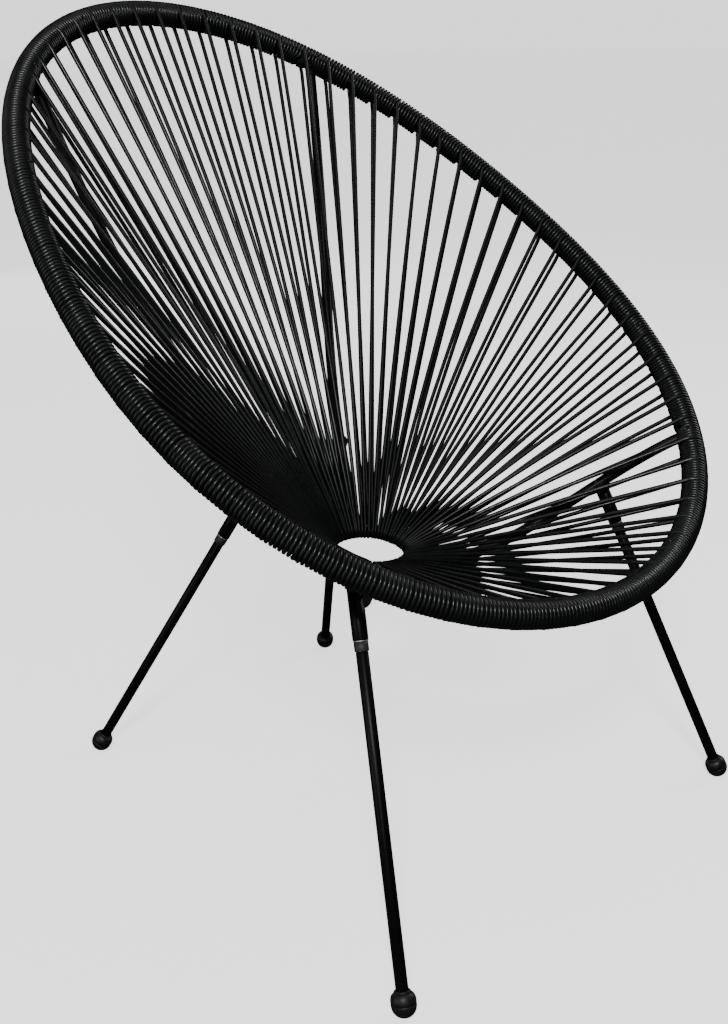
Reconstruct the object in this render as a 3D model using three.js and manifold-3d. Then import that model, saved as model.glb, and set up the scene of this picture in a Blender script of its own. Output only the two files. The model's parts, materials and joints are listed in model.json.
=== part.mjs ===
// An acapulco chair: an egg-shaped hoop of steel tube wound with cord, a small ring at the
// bottom of the seat, cord strung between the two, four curved ribs under it and four legs.
// Millimetres. +Z is up, the front faces -Y, and the floor is at zero height under the seat.

import * as THREE from 'three';
import { mergeVertices } from 'three/addons/utils/BufferGeometryUtils.js';
import Module from 'manifold-3d';

const wasm = await Module();
wasm.setup();

// Fits
const clearance = 0.3; // gap left between two pieces that touch
const overrun = 3; // how far a cutting shape runs past what it cuts

// Seat rim, an egg in plan that rises towards the back
const rimTubeDiameter = 20;
const rimTubeWall = 1.2;
const rimHalfWidth = 367;
const rimHalfLength = 410.6;
const rimCentreHeight = 594;
const rimSlope = THREE.MathUtils.degToRad(36.6);
const rimEggShare = 0.105; // how much wider the front half is than the back half
const rimFullnessShare = 0.057; // how far the corners swell out of an ellipse

// Seat ring at the bottom of the seat
const ringRodDiameter = 10;
const ringRadius = 46.5; // to the middle of the rod
const ringHeight = 286.4;
const ringForward = 17.6; // how far the ring lies in front of the rim's centre
const ringSlope = THREE.MathUtils.degToRad(7.5); // its back lies higher than its front

// Cord
const cordDiameter = 4;
const strandSeatShare = 0.63; // how far up the winding's radius a strand meets it
const backSectors = [4, 6, 4]; // stations in each sector of cord, from left to right
const rightSectors = [5, 6, 5, 5]; // from the back to the front
const frontSectors = [6, 6, 6]; // from right to left
const leftSectors = [5, 5, 6, 5]; // from the front to the back

// Ribs, the curved tubes from the rim down to the ring
const ribDiameter = 12;
const ribWall = 1.2;
const ribEndDrop = 8; // the rib's lower end lies this far under the ring's centre
const ribEndReach = 1; // and this far outside the middle of the ring's rod
const rearRib = {
  rimShiftShare: -0.2, // of a station, how far its upper end lies past the side's cord
  ringAngle: THREE.MathUtils.degToRad(32),
  reachShares: [0.59, 0.423], // the two points that bend the rib, seen from the side
  heightShares: [0.333, 0.351],
  angleShares: [1.631, -1.988],
};
const frontRib = {
  rimShiftShare: -0.1,
  ringAngle: THREE.MathUtils.degToRad(135),
  reachShares: [0.654, 0.306],
  heightShares: [0.653, -0.201],
  angleShares: [1.5, 0.904],
};

// Rear brace, a rod between the tops of the rear legs
const braceDiameter = 6;
const braceShare = 0.8; // place along the rear ribs, from the rim
const braceCordGap = 4; // left between the brace and the cord in front of it

// Legs, screwed into sockets that are welded under the ribs
const legDiameter = 12;
const legWall = 1.2;
const frontFootSpread = 277.4; // sideways from the middle of the chair
const frontFootReach = 319.6; // forwards from it
const frontSocketShare = 0.3; // place along the front rib, from the rim
const frontSocketLength = 49;
const rearFootSpread = 196;
const rearFootReach = 255.6; // backwards from it
const rearSocketShare = 0.79;
const rearSocketLength = 101;
const socketDiameter = 15;
const socketWall = 1.5;
const collarDiameter = 13.8;
const collarLength = 10;
const studDiameter = 8;
const studGrip = 18; // length of stud inside the nut
const studPlugLength = 25; // length of its thick end inside the leg
const nutLength = 20;

// Feet, rubber balls pushed onto the legs
const footDiameter = 24;
const footSideLength = 4;
const footShoulderLength = 9;
const footLipWidth = 1.8;
const footBoreDepth = 17;
const footFlatDepth = 0.8; // worn flat where it stands on the floor

// Colours
const cordLook = { color: 0x0d0e0f, roughness: 0.36, metalness: 0 };
const steelLook = { color: 0x0b0b0c, roughness: 0.5, metalness: 0.1 };
const collarLook = { color: 0x4a4b4c, roughness: 0.55, metalness: 0.2 };
const zincLook = { color: 0x9a9b9c, roughness: 0.35, metalness: 0.9 };
const rubberLook = { color: 0x080808, roughness: 0.7, metalness: 0 };

// Sides of the round sections
const wrapSides = 10;
const tubeSides = 8;
const boreSides = 6;
const turnedSides = 12;
const innerSides = 8; // of the nuts and studs, which the sockets and legs hide
const ringSteps = 24;
const ribSteps = 10;
const facetStations = 2; // stations spanned by one straight facet of the rim
const footRoundSteps = 4;
const footShoulderSteps = 3;

const rimTubeRadius = rimTubeDiameter / 2;
const cordRadius = cordDiameter / 2;
const strandSide = cordRadius * Math.sqrt(Math.PI); // a square of the cord's own area
const wrapRadius = rimTubeRadius + cordDiameter;
const ringRodRadius = ringRodDiameter / 2;
const ringWrapRadius = ringRodRadius + cordDiameter;
const ribRadius = ribDiameter / 2;
const legRadius = legDiameter / 2;
const legBoreRadius = legRadius - legWall;
const footRadius = footDiameter / 2;

const sum = (list) => list.reduce((total, value) => total + value, 0);
const backStations = sum(backSectors);
const stationCount = backStations + sum(rightSectors) + sum(frontSectors) + sum(leftSectors);
const rearRibStation = backStations / 2;
const frontRibStation = rearRibStation + sum(rightSectors);

const chair = new THREE.Group();

function addPiece(name, geometry, look, parent = chair) {
  const mesh = new THREE.Mesh(geometry, new THREE.MeshStandardMaterial(look));
  mesh.name = name;
  parent.add(mesh);
  return mesh;
}

// Solids are joined and cut from closed geometry

function solidOf(geometry) {
  const bare = geometry.clone();
  bare.deleteAttribute('normal');
  bare.deleteAttribute('uv');
  const merged = mergeVertices(bare);
  return new wasm.Manifold(new wasm.Mesh({
    numProp: 3,
    vertProperties: Float32Array.from(merged.attributes.position.array),
    triVerts: Uint32Array.from(merged.index.array),
  }));
}

function geometryOf(solid) {
  const mesh = solid.getMesh();
  const geometry = new THREE.BufferGeometry();
  geometry.setAttribute('position', new THREE.BufferAttribute(mesh.vertProperties, 3));
  geometry.setIndex(new THREE.BufferAttribute(mesh.triVerts, 1));
  geometry.computeVertexNormals();
  return geometry;
}

function cut(geometry, cutters) {
  let solid = solidOf(geometry);
  for (const cutter of cutters) solid = solid.subtract(solidOf(cutter));
  return geometryOf(solid);
}

// A polygon whose flats, not its corners, lie at this radius, for holes round a round piece
const flatsAt = (radius, sides) => radius / Math.cos(Math.PI / sides);

// How far out the flats lie of a turned hole whose corners are at this radius
const innerFlats = (radius) => radius * Math.cos(Math.PI / turnedSides);

function polygon(radius, sides) {
  const points = [];
  for (let i = 0; i < sides; i += 1) {
    const angle = (2 * Math.PI * i) / sides;
    points.push(new THREE.Vector2(radius * Math.cos(angle), radius * Math.sin(angle)));
  }
  return points;
}

function sweptRod(curve, steps, radius, sides) {
  const section = new THREE.Shape(polygon(radius, sides));
  return new THREE.ExtrudeGeometry(section, { extrudePath: curve, steps, bevelEnabled: false });
}

function sweptTube(curve, steps, radius, boreRadius) {
  const section = new THREE.Shape(polygon(radius, tubeSides));
  section.holes.push(new THREE.Path(polygon(boreRadius, boreSides)));
  return new THREE.ExtrudeGeometry(section, { extrudePath: curve, steps, bevelEnabled: false });
}

function straightRod(from, to, radius, sides) {
  const along = to.clone().sub(from);
  const rod = new THREE.CylinderGeometry(radius, radius, along.length(), sides);
  const turn = new THREE.Quaternion();
  turn.setFromUnitVectors(new THREE.Vector3(0, 1, 0), along.clone().normalize());
  rod.applyQuaternion(turn);
  const middle = from.clone().lerp(to, 0.5);
  return rod.translate(middle.x, middle.y, middle.z);
}

// A square bar whose top and bottom lie along the seat
function squareBar(from, to, side) {
  const along = to.clone().sub(from);
  const bar = new THREE.BoxGeometry(side, side, along.length());
  const forward = along.clone().normalize();
  const across = new THREE.Vector3(0, 0, 1).cross(forward).normalize();
  const up = forward.clone().cross(across);
  const middle = from.clone().lerp(to, 0.5);
  return bar.applyMatrix4(new THREE.Matrix4().makeBasis(across, up, forward).setPosition(middle));
}

// A profile of [radius, height] turned round +Z
function turned(profile, sides = turnedSides) {
  const points = profile.map(([radius, height]) => new THREE.Vector2(radius, height));
  return new THREE.LatheGeometry(points, sides).rotateX(Math.PI / 2);
}

function turnedPipe(outerRadius, innerRadius, from, to, sides = turnedSides) {
  return turned([
    [innerRadius, from], [outerRadius, from], [outerRadius, to], [innerRadius, to], [innerRadius, from],
  ], sides);
}

// The rim's middle line. Its angle runs from the back over the right side, +X, to the front.
class RimLine extends THREE.Curve {
  getPoint(share, target = new THREE.Vector3()) {
    const angle = 2 * Math.PI * share;
    const egg = 1 - rimEggShare * Math.cos(angle);
    const across = rimHalfWidth * (Math.sin(angle) * egg + rimFullnessShare * Math.sin(3 * angle));
    const along = rimHalfLength * (Math.cos(angle) + rimFullnessShare * Math.cos(3 * angle));
    const height = rimCentreHeight + along * Math.sin(rimSlope);
    return target.set(across, along * Math.cos(rimSlope), height);
  }
}

const rimLine = new RimLine();
rimLine.arcLengthDivisions = 4000;

// Stations are the evenly spaced places where cord leaves the rim, counted from the back
const stationShare = (station) => THREE.MathUtils.euclideanModulo(station / stationCount, 1);
const rimPoint = (station) => rimLine.getPointAt(stationShare(station));
const rimTangent = (station) => rimLine.getTangentAt(stationShare(station));
const stationPitch = rimLine.getLength() / stationCount;

class RimStretch extends THREE.Curve {
  constructor(from, to) {
    super();
    this.from = from;
    this.to = to;
  }

  getPoint(share, target = new THREE.Vector3()) {
    return target.copy(rimPoint(THREE.MathUtils.lerp(this.from, this.to, share)));
  }
}

// Places round the upright line through the ring's middle
const uprightPlace = (angle, reach, height) => new THREE.Vector3(
  reach * Math.sin(angle),
  reach * Math.cos(angle) - ringForward,
  height,
);

// Places in the ring's own tilted plane, on its middle line if nothing else is said
const ringFrame = new THREE.Matrix4().makeRotationX(ringSlope);
ringFrame.setPosition(0, -ringForward, ringHeight);

const ringPlace = (angle, reach = ringRadius, height = 0) => new THREE.Vector3(
  reach * Math.sin(angle),
  reach * Math.cos(angle),
  height,
).applyMatrix4(ringFrame);

const ringTangent = (angle) => new THREE.Vector3(Math.cos(angle), -Math.sin(angle), 0)
  .transformDirection(ringFrame);

class RingArc extends THREE.Curve {
  constructor(from, to) {
    super();
    this.from = from;
    this.to = to;
  }

  getPoint(share, target = new THREE.Vector3()) {
    const angle = THREE.MathUtils.lerp(this.from, this.to, share);
    return target.copy(ringPlace(angle));
  }
}

// Cord shares out the ring evenly between the ribs
function ringAngle(station) {
  const stops = [
    [-frontRibStation, -frontRib.ringAngle],
    [-rearRibStation, -rearRib.ringAngle],
    [rearRibStation, rearRib.ringAngle],
    [frontRibStation, frontRib.ringAngle],
    [stationCount - frontRibStation, 2 * Math.PI - frontRib.ringAngle],
    [stationCount - rearRibStation, 2 * Math.PI - rearRib.ringAngle],
  ];
  const next = Math.max(1, stops.findIndex(([stop]) => stop >= station));
  const [[fromStation, fromAngle], [toStation, toAngle]] = [stops[next - 1], stops[next]];
  const share = (station - fromStation) / (toStation - fromStation);
  return THREE.MathUtils.lerp(fromAngle, toAngle, share);
}

// Frame tubes

// The rim is made of straight facets, the same for every piece that follows it. This gives the
// facets that cover a stretch of the rim, and some to spare at both ends.
function rimFacets(from, to, spare) {
  const first = Math.floor(from / facetStations) - spare;
  const last = Math.ceil(to / facetStations) + spare;
  const line = new RimStretch(first * facetStations, last * facetStations);
  return { line, steps: last - first };
}

const seam = clearance / stationPitch; // the tube's two ends meet at the middle of the back
const rimTubeLine = new RimStretch(seam / 2, stationCount - seam / 2);
const rimSteps = stationCount / facetStations;
const rimTube = sweptTube(rimTubeLine, rimSteps, rimTubeRadius, rimTubeRadius - rimTubeWall);
addPiece('rim_tube', rimTube, steelLook);

function rimTubeSpace(from, to, spare) {
  const { line, steps } = rimFacets(from, to, spare);
  return sweptRod(line, steps, flatsAt(rimTubeRadius + clearance, tubeSides), tubeSides);
}

const ringRod = new THREE.TorusGeometry(ringRadius, ringRodRadius, tubeSides, ringSteps);
ringRod.applyMatrix4(ringFrame);
addPiece('centre_ring', ringRod, steelLook);

const ringRodSpace = new THREE.TorusGeometry(
  ringRadius,
  flatsAt(ringRodRadius + clearance, tubeSides),
  tubeSides,
  ringSteps,
);
ringRodSpace.applyMatrix4(ringFrame);

function ribLine(rib, station) {
  const side = Math.sign(station);
  const top = rimPoint(station + side * rib.rimShiftShare);
  const plan = new THREE.Vector2(top.x, top.y + ringForward);
  const topAngle = Math.atan2(plan.x, plan.y);
  const endAngle = side * rib.ringAngle;
  const endReach = ringRadius + ribEndReach;
  const end = ringPlace(endAngle, endReach, -ribEndDrop);
  const bends = [0, 1].map((i) => uprightPlace(
    THREE.MathUtils.lerp(endAngle, topAngle, rib.angleShares[i]),
    THREE.MathUtils.lerp(endReach, plan.length(), rib.reachShares[i]),
    THREE.MathUtils.lerp(end.z, top.z, rib.heightShares[i]),
  ));
  return new THREE.CubicBezierCurve3(top, ...bends, end);
}

const ribs = [
  { name: 'rear_right_rib', line: ribLine(rearRib, rearRibStation), station: rearRibStation },
  { name: 'rear_left_rib', line: ribLine(rearRib, -rearRibStation), station: -rearRibStation },
  { name: 'front_right_rib', line: ribLine(frontRib, frontRibStation), station: frontRibStation },
  { name: 'front_left_rib', line: ribLine(frontRib, -frontRibStation), station: -frontRibStation },
];

for (const rib of ribs) {
  rib.space = sweptRod(rib.line, ribSteps, flatsAt(ribRadius + clearance, tubeSides), tubeSides);
  const tube = sweptTube(rib.line, ribSteps, ribRadius, ribRadius - ribWall);
  const rim = rimTubeSpace(rib.station, rib.station, 1);
  addPiece(rib.name, cut(tube, [rim, ringRodSpace]), steelLook);
}

// Cord: each sector holds the turns on the rim, the strands and their loops on the ring

// A pair of strands runs from the rim to the ring, one over both and one under both
function strandEnds(station, angle, above) {
  const rimCentre = rimPoint(station);
  const ringCentre = ringPlace(angle);
  const towards = ringCentre.clone().sub(rimCentre).normalize();
  const rimOffset = rimTangent(station).cross(towards).normalize();
  const ringOffset = ringTangent(angle).cross(towards).normalize();
  for (const offset of [rimOffset, ringOffset]) offset.multiplyScalar(Math.sign(offset.z) * above);
  return [
    rimCentre.addScaledVector(rimOffset, wrapRadius * strandSeatShare),
    ringCentre.addScaledVector(ringOffset, ringWrapRadius * strandSeatShare),
  ];
}

// The lower strands of a sector stand clear of a rib at its edge, where the rib meets the ring
function lowerAngles(from, to, atRibs) {
  const plain = Math.asin((strandSide / 2 + clearance) / ringRadius);
  const besideRib = Math.asin((ribRadius + strandSide / 2 + 2 * clearance) / ringRadius);
  const first = ringAngle(from) + (atRibs.includes(from) ? besideRib : plain);
  const last = ringAngle(to) - (atRibs.includes(to) ? besideRib : plain);
  const count = to - from;
  return Array.from({ length: count }, (_, i) => first + ((last - first) * i) / (count - 1));
}

// The upright wedge between two edges of a sector, less half a clearance at each edge
function sectorWedge(from, to) {
  const edges = [[from, 1], [to, -1]].map(([station, inward]) => {
    const rim = rimPoint(station);
    const ring = ringPlace(ringAngle(station));
    const out = new THREE.Vector2(rim.x - ring.x, rim.y - ring.y).normalize();
    const aside = new THREE.Vector2(out.y, -out.x).multiplyScalar((inward * clearance) / 2);
    const inner = new THREE.Vector2(ring.x, ring.y).addScaledVector(out, -ringWrapRadius - overrun);
    const outer = new THREE.Vector2(rim.x, rim.y).addScaledVector(out, wrapRadius + overrun);
    return [inner.add(aside), outer.add(aside)];
  });
  const rims = [];
  for (let station = from + 1; station < to; station += 1) {
    const rim = rimPoint(station);
    const place = new THREE.Vector2(rim.x, rim.y + ringForward);
    place.setLength(place.length() + 2 * wrapRadius + overrun);
    rims.push(new THREE.Vector2(place.x, place.y - ringForward));
  }
  const [[fromInner, fromOuter], [toInner, toOuter]] = edges;
  const outline = new THREE.Shape([fromInner, fromOuter, ...rims, toOuter, toInner]);
  const depth = rimCentreHeight + rimHalfLength;
  return new THREE.ExtrudeGeometry(outline, { depth, bevelEnabled: false });
}

function cordSector(from, to, atRibs) {
  const { line, steps } = rimFacets(from, to, 1);
  let solid = solidOf(sweptRod(line, steps, wrapRadius, wrapSides));
  const spareAngle = (cordDiameter + overrun) / ringRadius;
  const loops = new RingArc(ringAngle(from) - spareAngle, ringAngle(to) + spareAngle);
  const loopSteps = Math.ceil((to - from) / facetStations);
  solid = solid.add(solidOf(sweptRod(loops, loopSteps, ringWrapRadius, tubeSides)));
  lowerAngles(from, to, atRibs).forEach((angle, i) => {
    const station = from + i + 0.5;
    const upper = squareBar(...strandEnds(station, ringAngle(station), 1), strandSide);
    const lower = squareBar(...strandEnds(station, angle, -1), strandSide);
    solid = solid.add(solidOf(upper)).add(solidOf(lower));
  });
  solid = solid.intersect(solidOf(sectorWedge(from, to)));
  solid = solid.subtract(solidOf(rimTubeSpace(from, to, 2)));
  solid = solid.subtract(solidOf(ringRodSpace));
  for (const rib of ribs) {
    const station = THREE.MathUtils.euclideanModulo(rib.station, stationCount);
    const edges = [from, to].map((edge) => THREE.MathUtils.euclideanModulo(edge, stationCount));
    if (edges.includes(station)) solid = solid.subtract(solidOf(rib.space));
  }
  return geometryOf(solid);
}

const ribStations = [
  -rearRibStation,
  rearRibStation,
  frontRibStation,
  stationCount - frontRibStation,
  stationCount - rearRibStation,
];
let station = -rearRibStation;
for (const [side, sectors] of [
  ['back', backSectors],
  ['right', rightSectors],
  ['front', frontSectors],
  ['left', leftSectors],
]) {
  sectors.forEach((count, i) => {
    addPiece(`${side}_cord_${i + 1}`, cordSector(station, station + count, ribStations), cordLook);
    station += count;
  });
}

// Legs, each in a group whose +Z runs up the leg from the middle of its foot

function addLeg(name, rib, share, footPlace, socketLength) {
  const top = rib.line.getPoint(share);
  const foot = new THREE.Vector3(footPlace.x, footPlace.y, footRadius - footFlatDepth);
  rib.socketSpace = straightRod(foot, top, socketDiameter / 2 + clearance, turnedSides);
  const leg = new THREE.Group();
  leg.position.copy(foot);
  leg.quaternion.setFromUnitVectors(
    new THREE.Vector3(0, 0, 1),
    top.clone().sub(foot).normalize(),
  );
  leg.updateMatrixWorld();
  chair.add(leg);
  const toLeg = leg.matrixWorld.clone().invert();
  const length = top.distanceTo(foot);

  const socketEnd = length - socketLength;
  const socketBore = socketDiameter / 2 - socketWall;
  const socket = turnedPipe(socketDiameter / 2, socketBore, socketEnd, length);
  const ribSpace = rib.space.clone().applyMatrix4(toLeg);
  addPiece(`${name}_socket`, cut(socket, [ribSpace]), steelLook, leg);

  const studRadius = studDiameter / 2;
  const nutRadius = innerFlats(socketBore) - clearance;
  const nutBore = flatsAt(studRadius + clearance, innerSides);
  const nutEnd = socketEnd + clearance;
  const nut = turnedPipe(nutRadius, nutBore, nutEnd, nutEnd + nutLength, innerSides);
  addPiece(`${name}_nut`, nut, zincLook, leg);

  const collarTop = socketEnd - clearance;
  const collarBore = flatsAt(studRadius + clearance, turnedSides);
  const collar = turnedPipe(collarDiameter / 2, collarBore, collarTop - collarLength, collarTop);
  addPiece(`${name}_collar`, collar, collarLook, leg);

  const legTop = collarTop - collarLength - clearance;
  const boreFloor = footRadius + footSideLength + footShoulderLength - footBoreDepth;
  const tube = turnedPipe(legRadius, legBoreRadius, boreFloor + clearance, legTop);
  addPiece(`${name}_leg`, tube, steelLook, leg);

  const plugRadius = innerFlats(legBoreRadius) - clearance;
  const stud = turned([
    [0, legTop - studPlugLength],
    [plugRadius, legTop - studPlugLength],
    [plugRadius, legTop],
    [studRadius, legTop],
    [studRadius, socketEnd + studGrip],
    [0, socketEnd + studGrip],
  ], innerSides);
  addPiece(`${name}_stud`, stud, zincLook, leg);

  addPiece(`${name}_foot`, footGeometry(boreFloor, toLeg), rubberLook, leg);
}

function footGeometry(boreFloor, toLeg) {
  const boreRadius = flatsAt(legRadius + clearance, turnedSides);
  const lipRadius = boreRadius + footLipWidth;
  const shoulder = footRadius - lipRadius;
  const profile = [];
  for (let i = 0; i <= footRoundSteps; i += 1) {
    const angle = (Math.PI / 2) * (i / footRoundSteps - 1);
    profile.push([footRadius * Math.cos(angle), footRadius * Math.sin(angle)]);
  }
  profile[0][0] = 0;
  for (let i = 0; i <= footShoulderSteps; i += 1) {
    const angle = (Math.PI / 2) * (i / footShoulderSteps);
    const height = footSideLength + footShoulderLength * Math.sin(angle);
    profile.push([lipRadius + shoulder * Math.cos(angle), height]);
  }
  const lipTop = footSideLength + footShoulderLength;
  profile.push([boreRadius, lipTop], [boreRadius, boreFloor], [0, boreFloor]);
  const size = 2 * footDiameter;
  const floor = new THREE.BoxGeometry(size, size, size);
  floor.translate(0, 0, -size / 2);
  const below = new THREE.Vector3(0, 0, footRadius - footFlatDepth);
  const place = new THREE.Vector3().applyMatrix4(toLeg.clone().invert()).sub(below);
  floor.translate(place.x, place.y, place.z).applyMatrix4(toLeg);
  return cut(turned(profile), [floor]);
}

const [rearRightRib, rearLeftRib, frontRightRib, frontLeftRib] = ribs;
for (const [side, sign, frontRibOfSide, rearRibOfSide] of [
  ['right', 1, frontRightRib, rearRightRib],
  ['left', -1, frontLeftRib, rearLeftRib],
]) {
  const frontFoot = new THREE.Vector2(sign * frontFootSpread, -frontFootReach);
  addLeg(`front_${side}`, frontRibOfSide, frontSocketShare, frontFoot, frontSocketLength);
  const rearFoot = new THREE.Vector2(sign * rearFootSpread, rearFootReach);
  addLeg(`rear_${side}`, rearRibOfSide, rearSocketShare, rearFoot, rearSocketLength);
}

// The brace lies behind the cord at the middle of the back
const braceEnds = [rearLeftRib, rearRightRib].map((rib) => rib.line.getPoint(braceShare));
const [strandTop, strandEnd] = strandEnds(0, 0, -1);
const strandRun = strandTop.clone().sub(strandEnd);
const strandPlace = strandEnd.clone().addScaledVector(
  strandRun,
  (braceEnds[0].z - strandEnd.z) / strandRun.z,
);
const behind = new THREE.Vector3(1, 0, 0).cross(strandRun).normalize().negate();
strandPlace.addScaledVector(behind, strandSide / 2 + braceCordGap + braceDiameter / 2);
for (const end of braceEnds) end.set(end.x, strandPlace.y, strandPlace.z);
const brace = straightRod(...braceEnds, braceDiameter / 2, tubeSides);
const braceCutters = [rearLeftRib, rearRightRib].flatMap((rib) => [rib.space, rib.socketSpace]);
addPiece('rear_brace', cut(brace, braceCutters), steelLook);

export default chair;
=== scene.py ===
import json
import math

import bpy
import numpy as np
from mathutils import Matrix, Vector


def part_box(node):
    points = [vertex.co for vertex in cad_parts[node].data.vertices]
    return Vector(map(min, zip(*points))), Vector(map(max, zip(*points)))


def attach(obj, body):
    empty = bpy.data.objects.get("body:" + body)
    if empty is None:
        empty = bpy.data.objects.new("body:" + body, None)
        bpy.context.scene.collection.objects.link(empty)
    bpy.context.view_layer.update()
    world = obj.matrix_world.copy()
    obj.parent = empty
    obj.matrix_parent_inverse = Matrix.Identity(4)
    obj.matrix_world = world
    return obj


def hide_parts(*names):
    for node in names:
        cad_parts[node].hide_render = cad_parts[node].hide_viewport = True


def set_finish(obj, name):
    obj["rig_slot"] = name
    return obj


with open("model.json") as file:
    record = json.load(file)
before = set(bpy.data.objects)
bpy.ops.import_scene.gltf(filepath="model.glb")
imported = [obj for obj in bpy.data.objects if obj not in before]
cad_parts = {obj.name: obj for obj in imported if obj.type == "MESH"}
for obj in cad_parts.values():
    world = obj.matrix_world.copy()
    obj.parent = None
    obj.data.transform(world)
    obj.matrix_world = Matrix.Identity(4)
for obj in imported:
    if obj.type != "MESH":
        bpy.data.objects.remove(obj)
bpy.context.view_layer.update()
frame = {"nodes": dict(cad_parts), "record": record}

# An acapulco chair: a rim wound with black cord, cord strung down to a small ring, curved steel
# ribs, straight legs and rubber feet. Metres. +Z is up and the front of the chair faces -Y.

BODY = "root"
UP = Vector((0, 0, 1))

# Picture
IMAGE_WIDTH = 728
IMAGE_HEIGHT = 1024
SENSOR = 36.0
FOCAL_PIXELS = 1270.4
AXIS_COLUMN = 319.94  # pixel column and row that the lens points at
AXIS_ROW = 522.0
CAMERA_PLACE = (-0.9643, -0.9225, 0.8250)
CAMERA_AZIMUTH = math.radians(-44.40)
CAMERA_ELEVATION = math.radians(20.92)
CAMERA_ROLL = math.radians(-0.85)

# Rim, an egg in plan that rises towards the back
RIM_TUBE_RADIUS = 0.010
RIM_HALF_WIDTH = 0.367
RIM_HALF_LENGTH = 0.4106
RIM_CENTRE_HEIGHT = 0.594
RIM_SLOPE = math.radians(36.6)
RIM_EGG_SHARE = 0.105
RIM_FULLNESS_SHARE = 0.057
RIM_STEPS = 296
RULER_STEPS = 12000  # for measuring along the rim

# Seat ring
RING_ROD_RADIUS = 0.005
RING_RADIUS = 0.0465
RING_HEIGHT = 0.2864
RING_FORWARD = 0.0176
RING_SLOPE = math.radians(7.5)

# Cord. A station is a place on the rim where the cord runs down to the ring and back.
CORD_RADIUS = 0.002
TURNS_PER_STATION = 8
SECTORS = {"back": (4, 6, 4), "right": (5, 6, 5, 5), "front": (6, 6, 6), "left": (5, 5, 6, 5)}
STATIONS = sum(map(sum, SECTORS.values()))
REAR_RIB_STATION = sum(SECTORS["back"]) / 2
FRONT_RIB_STATION = REAR_RIB_STATION + sum(SECTORS["right"])
TURN_STEPS = 20  # points in one turn of the winding
CORD_SIDES = 8
LOOP_STEPS = 12
LOOP_SHARE = 0.96  # of the cord's width, left to it by the crowd of loops on the ring
STRAND_SHARE = 1.20  # that it swells to between the ring and the rim
SWELL_LENGTH = 0.07  # over which it does
BEND_LENGTH = 0.016  # over which a strand bends from square to the tube to its own line
BEND_SHARES = (0.1, 0.25, 0.45, 0.7, 1)  # of that length, where the bend has points
MIDDLE_SHARES = (0.25, 0.5, 0.75)  # of a strand, where it has points between its bends
STRAND_SPREAD = 0.0015  # how unevenly the strands are spaced along the rim
LOOP_SPREAD = math.radians(1.3)  # and round the ring
LOOP_LIFT = 0.0004
TURN_FULLNESS = 0.06  # how much a turn is pressed out of round, towards a square
TURN_SPREAD = 0.00012  # how unevenly the turns lie side by side
TURN_LIFT = 0.00010
RUN_GAP = 0.0007  # between the turns on both sides of a run
CROSSING_LIFT = 0.0004  # where the last turns before a run ride over cord under the rim
CROSSING_TURNS = 3  # number of turns that do
CROSSING_WIDTH = 0.14  # of a turn
LEAN_REACH = 0.040  # stretch of rim on which turns lean away from a rib's weld
LEAN_TURN = 0.20  # of a turn, from the weld to where they lie close again

# Ribs
RIB_RADIUS = 0.006
RIB_END_DROP = 0.008
RIB_END_REACH = 0.001
RIB_START_SHARE = 0.8  # of the rim tube's radius, where a rib starts under its skin
RIB_SLOPE_SHARE = 0.01  # of a rib, the stretch that gives its direction at a place
REAR_RIB = {
    "station": REAR_RIB_STATION,
    "rim_shift": -0.2,
    "ring_angle": math.radians(32),
    "reach": (0.590, 0.423),
    "height": (0.333, 0.351),
    "angle": (1.631, -1.988),
}
FRONT_RIB = {
    "station": FRONT_RIB_STATION,
    "rim_shift": -0.1,
    "ring_angle": math.radians(135),
    "reach": (0.654, 0.306),
    "height": (0.653, -0.201),
    "angle": (1.500, 0.904),
}
RIB_STEPS = 96

# Legs
LEG_RADIUS = 0.006
SOCKET_RADIUS = 0.0075
SOCKET_WALL = 0.0015
COLLAR_RADIUS = 0.0069
COLLAR_LENGTH = 0.010
COLLAR_INSIDE_SHARE = 0.8  # of the leg's radius, how far in the collar and the washer reach
WASHER_RADIUS = 0.0072
WASHER_LENGTH = 0.0005
JOINT_GAP = 0.0003
EDGE = 0.0005  # rounding of cut tube ends
LEGS = {
    "front": {
        "rib": FRONT_RIB,
        "share": 0.3,
        "foot": (0.2774, -0.3196),
        "socket_length": 0.049,
    },
    "rear": {
        "rib": REAR_RIB,
        "share": 0.79,
        "foot": (0.196, 0.2556),
        "socket_length": 0.101,
    },
}
BRACE_RADIUS = 0.003

# Feet
FOOT_RADIUS = 0.012
FOOT_SIDE = 0.004
FOOT_SHOULDER = 0.009
FOOT_LIP = 0.0018
FOOT_FLAT = 0.0008
FOOT_SEAM = 0.0003

# Welds
WELD_RADIUS = 0.0013
WELD_LUMP_SHARE = 0.16
WELD_LUMP_LENGTH = 0.0021
WELD_UNEVEN_SHARE = 0.4  # of a lump

# Finishes: the sizes of what varies over a surface, and the depth of its relief
CORD_CLOUD = 0.030
CORD_GRAIN = 0.0010
CORD_SCUFF = 0.005
CORD_DEPTH = 0.00006
DULL_REACH = 0.17  # from the ring's middle, to where the cord is no longer rubbed dull
DUST_AND_SHEEN_FROM = 0.2  # upward share of a surface's normal, from which the cord is paler with dust and a painted sheen
COAT_CLOUD = 0.045
COAT_PEEL = 0.0016
COAT_SCRATCH = 0.012
COAT_CHIP = 0.0045
COAT_DEPTH = 0.0002
COLLAR_CLOUD = 0.006
COLLAR_GRAIN = 0.0008
COLLAR_DEPTH = 0.0001
RUBBER_CLOUD = 0.008
RUBBER_GRAIN = 0.0006
RUBBER_SCUFF = 0.0022
RUBBER_DEPTH = 0.00015
WORN_HEIGHT = 0.004  # up to which a foot is fully worn
ZINC_CLOUD = 0.005

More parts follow.
